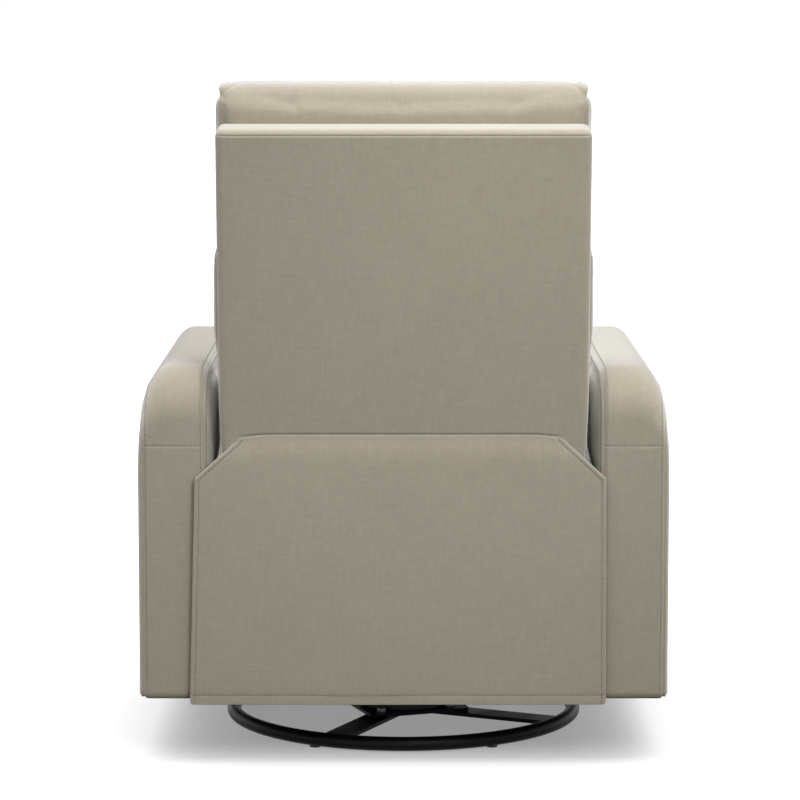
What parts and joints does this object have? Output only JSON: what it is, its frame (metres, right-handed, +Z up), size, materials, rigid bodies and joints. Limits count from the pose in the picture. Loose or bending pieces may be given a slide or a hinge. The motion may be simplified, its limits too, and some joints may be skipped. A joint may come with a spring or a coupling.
{
  "type": "swivel glider recliner chair",
  "caption": "Upholstered nursery chair on a round ring base that swivels and glides, with a reclining back, a hanging rear flap and a scissor footrest.",
  "frame": {"origin": "on the floor, on the swivel axis", "axes": "+Z up, the sitter faces -Y, the sitter's left is +X"},
  "size_m": [0.8, 0.8309, 1.0326],
  "materials": {
    "upholstery": "woven linen-look cloth",
    "webbing": "woven elastic webbing",
    "felt": "needled felt",
    "black_steel": "satin black powder coat",
    "zinc_steel": "zinc plated",
    "black_nylon": "matt nylon",
    "plywood": "raw plywood"
  },
  "bodies": {
    "base": {"base_ring": "black_steel", "base_spokes": "black_steel", "hub_plate": "black_steel", "hub_bolts": "zinc_steel", "floor_glides": "black_nylon", "swivel_post": "zinc_steel", "swivel_thrust_ring": "black_nylon", "swivel_nut": "zinc_steel"},
    "swivel_frame": {"swivel_plate": "black_steel", "glider_cross_beams": "black_steel", "glider_bracket_left": "black_steel", "glider_bracket_right": "black_steel", "glider_upper_pins": "zinc_steel"},
    "front_links": {"glide_link_front_left": "black_steel", "glide_link_front_right": "black_steel"},
    "rear_links": {"glide_link_rear_left": "black_steel", "glide_link_rear_right": "black_steel"},
    "chassis": {"glide_rail_left": "black_steel", "glide_rail_right": "black_steel", "glider_lower_pins": "zinc_steel", "chassis_tube_front": "black_steel", "chassis_tube_rear": "black_steel", "slide_channel_left": "black_steel", "slide_channel_right": "black_steel", "arm_cover_left": "upholstery", "arm_cover_right": "upholstery", "arm_frame_left": "plywood", "arm_frame_right": "plywood", "release_guide": "black_nylon"},
    "release": {"release_tab": "black_nylon"},
    "seat": {"seat_side_rail_left": "black_steel", "seat_side_rail_right": "black_steel", "seat_front_rail": "black_steel", "seat_rear_rail": "black_steel", "seat_webbing": "webbing", "seat_deck_pad": "felt", "seat_cushion": "upholstery", "slide_blocks": "black_nylon", "back_hinge_plates": "black_steel", "back_hinge_pins": "zinc_steel", "footrest_side_plates": "black_steel", "footrest_origin_pins": "zinc_steel"},
    "backrest": {"back_stile_left": "black_steel", "back_stile_right": "black_steel", "back_top_rail": "black_steel", "back_lower_rail": "black_steel", "back_webbing": "webbing", "back_pivot_plates": "black_steel", "back_shell": "upholstery", "lower_back_cushion": "upholstery", "head_pillow": "upholstery"},
    "flap": {"rear_flap": "upholstery"},
    "footrest_upper": {"footrest_links_upper": "zinc_steel", "footrest_cross_rod": "zinc_steel"},
    "footrest_lower": {"footrest_links_lower": "zinc_steel"},
    "footrest_brace": {"footrest_links_brace": "zinc_steel"},
    "footrest": {"footrest_carriers": "black_steel", "footrest_board": "plywood", "footrest_pad": "upholstery"}
  },
  "joints": [
    {"name": "swivel", "type": "hinge", "parent": "base", "child": "swivel_frame", "pos_m": [0, 0, 0.05], "axis": [0, 0, 1], "continuous": true},
    {"name": "glide", "type": "hinge", "parent": "swivel_frame", "child": "front_links", "pos_m": [0, -0.115, 0.24], "axis": [1, 0, 0], "range_deg": [-18, 18]},
    {"name": "glide_rear", "type": "hinge", "parent": "swivel_frame", "child": "rear_links", "pos_m": [0, 0.115, 0.24], "axis": [1, 0, 0], "range_deg": [-18, 18]},
    {"name": "glide_seat", "type": "hinge", "parent": "front_links", "child": "chassis", "pos_m": [0, -0.115, 0.11], "axis": [1, 0, 0], "range_deg": [-18, 18]},
    {"name": "release_pull", "type": "slide", "parent": "chassis", "child": "release", "axis": [0, 0, 1], "range_m": [0, 0.02], "stiffness_N_per_m": 200, "springref_m": -0.01},
    {"name": "seat_slide", "type": "slide", "parent": "chassis", "child": "seat", "axis": [0, -1, 0], "range_m": [0, 0.04]},
    {"name": "back_recline", "type": "hinge", "parent": "seat", "child": "backrest", "pos_m": [0, 0.32, 0.38], "axis": [-1, 0, 0], "range_deg": [0, 30]},
    {"name": "flap_hang", "type": "hinge", "parent": "backrest", "child": "flap", "pos_m": [0, 0.361, 0.505], "axis": [-1, 0, 0], "range_deg": [-30, 0]},
    {"name": "footrest_extend", "type": "hinge", "parent": "seat", "child": "footrest_upper", "pos_m": [0, -0.315, 0.33], "axis": [-1, 0, 0], "range_deg": [0, 76]},
    {"name": "footrest_cross", "type": "hinge", "parent": "footrest_upper", "child": "footrest_lower", "pos_m": [0, -0.32323, 0.21229], "axis": [-1, 0, 0], "range_deg": [-152, 0]},
    {"name": "footrest_brace_pivot", "type": "hinge", "parent": "footrest_upper", "child": "footrest_brace", "pos_m": [0, -0.33146, 0.09458], "axis": [-1, 0, 0], "range_deg": [-152, 0]},
    {"name": "footrest_tilt", "type": "hinge", "parent": "footrest_lower", "child": "footrest", "pos_m": [0, -0.33146, 0.33], "axis": [-1, 0, 0], "range_deg": [0, 152]}
  ],
  "couplings": [
    {"joint": "glide_rear", "follows": "glide", "ratio": 1},
    {"joint": "glide_seat", "follows": "glide", "ratio": -1},
    {"joint": "seat_slide", "follows": "back_recline", "m_per_rad": 0.076318},
    {"joint": "flap_hang", "follows": "back_recline", "ratio": -1},
    {"joint": "footrest_cross", "follows": "footrest_extend", "ratio": -2},
    {"joint": "footrest_brace_pivot", "follows": "footrest_extend", "ratio": -2},
    {"joint": "footrest_tilt", "follows": "footrest_extend", "ratio": 2}
  ]
}
